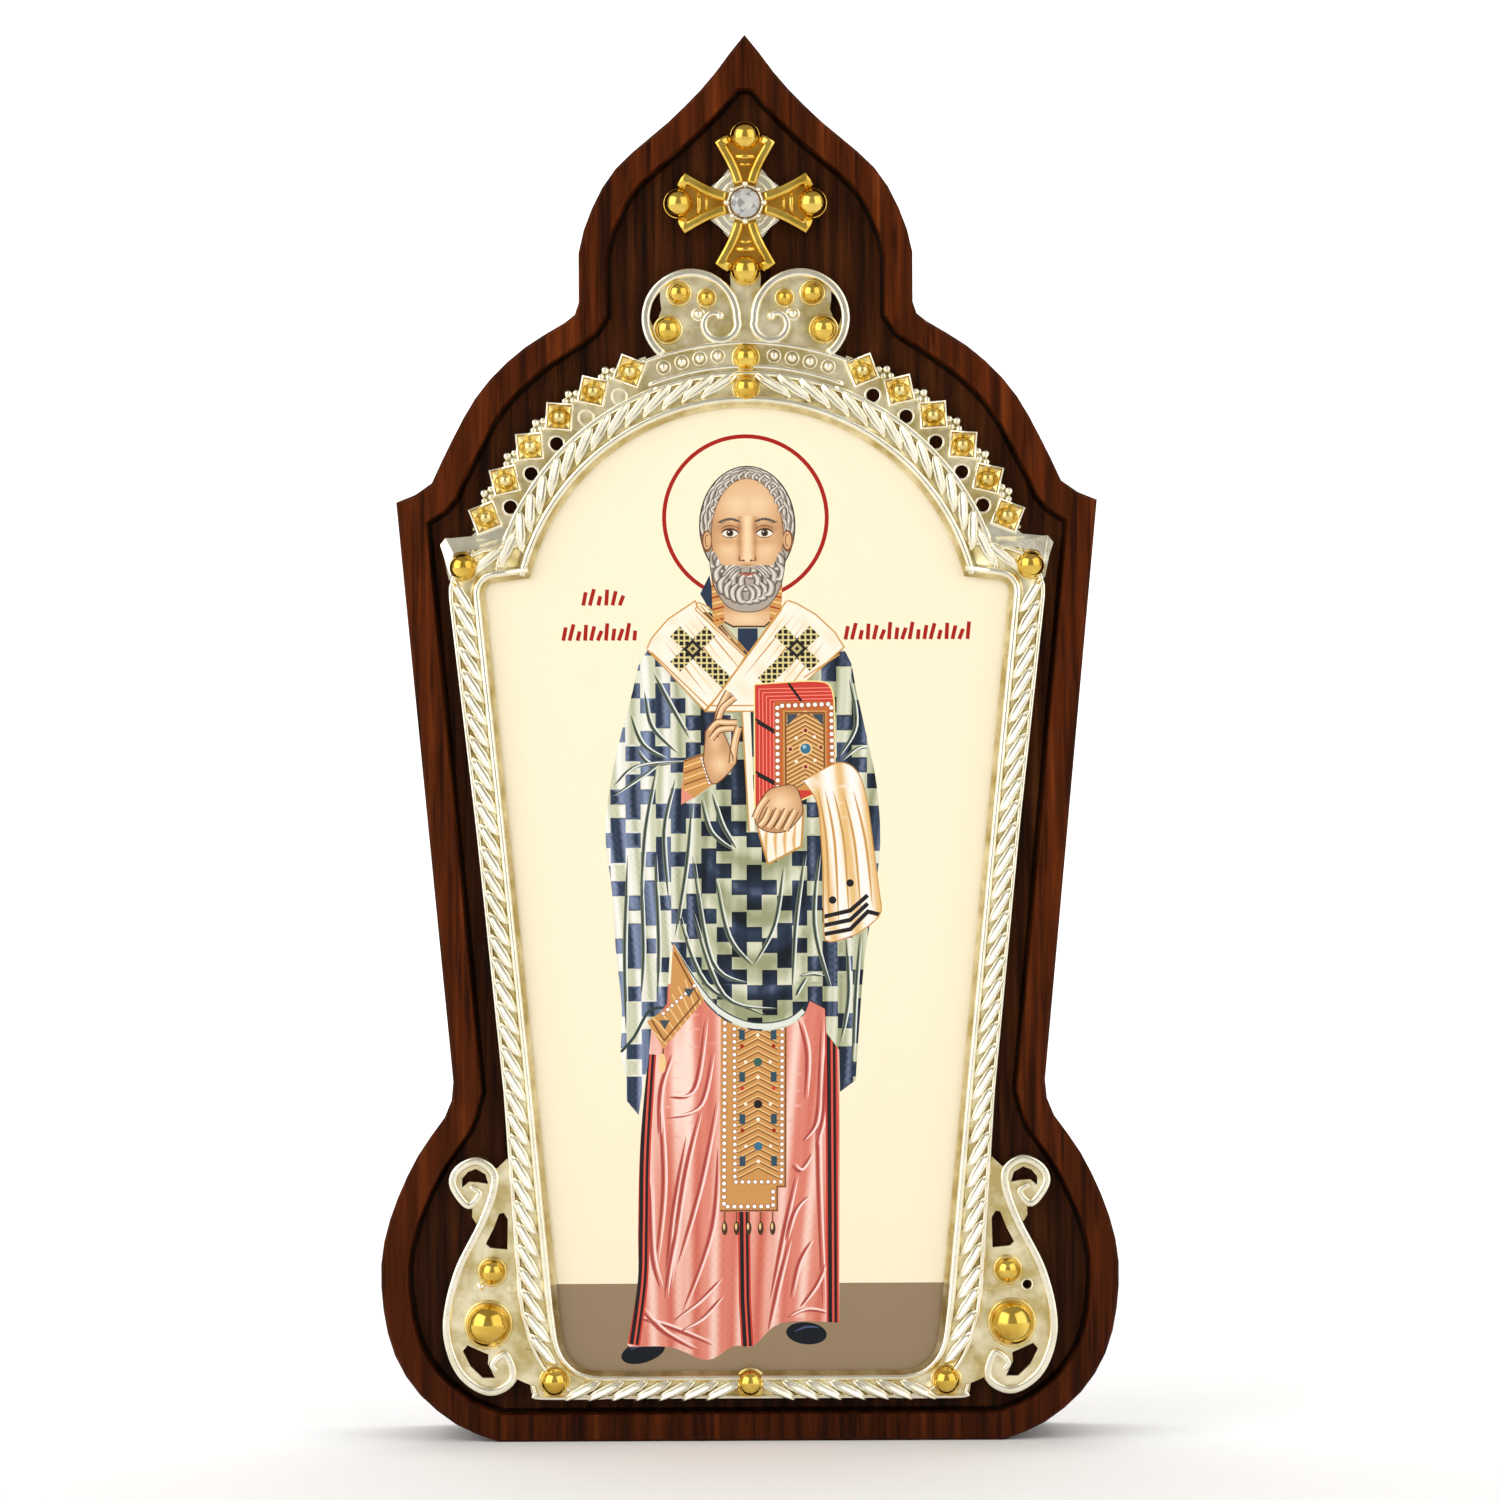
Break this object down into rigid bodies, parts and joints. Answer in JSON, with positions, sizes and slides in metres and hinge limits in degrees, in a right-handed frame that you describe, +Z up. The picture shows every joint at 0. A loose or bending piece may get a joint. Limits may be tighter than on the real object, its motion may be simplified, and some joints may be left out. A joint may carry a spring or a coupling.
{
  "type": "metal icon, a table icon with a cast metal frame on a shaped wooden board",
  "caption": "Standing table icon: onion-topped wooden board with a recessed field, silvered cast frame with scrolls, cells and a cross, and a painted panel of a robed elder.",
  "frame": {"origin": "middle of the underside of the whole object's box", "axes": "+Z up the board, -Y towards the viewer of the painted front, +X to the viewer's right"},
  "size_m": [0.1258, 0.0272, 0.24],
  "materials": {
    "stained_wood": "dark red-brown stain, satin varnish",
    "silvered_metal": "silver plate, polished, partly gilded",
    "painted_panel": "semi-gloss paint",
    "clear_stone": "clear, faceted, polished"
  },
  "bodies": {
    "root": {"board": "stained_wood", "metal_frame": "silvered_metal", "icon_panel": "painted_panel", "cross_stone": "clear_stone"}
  },
  "joints": []
}
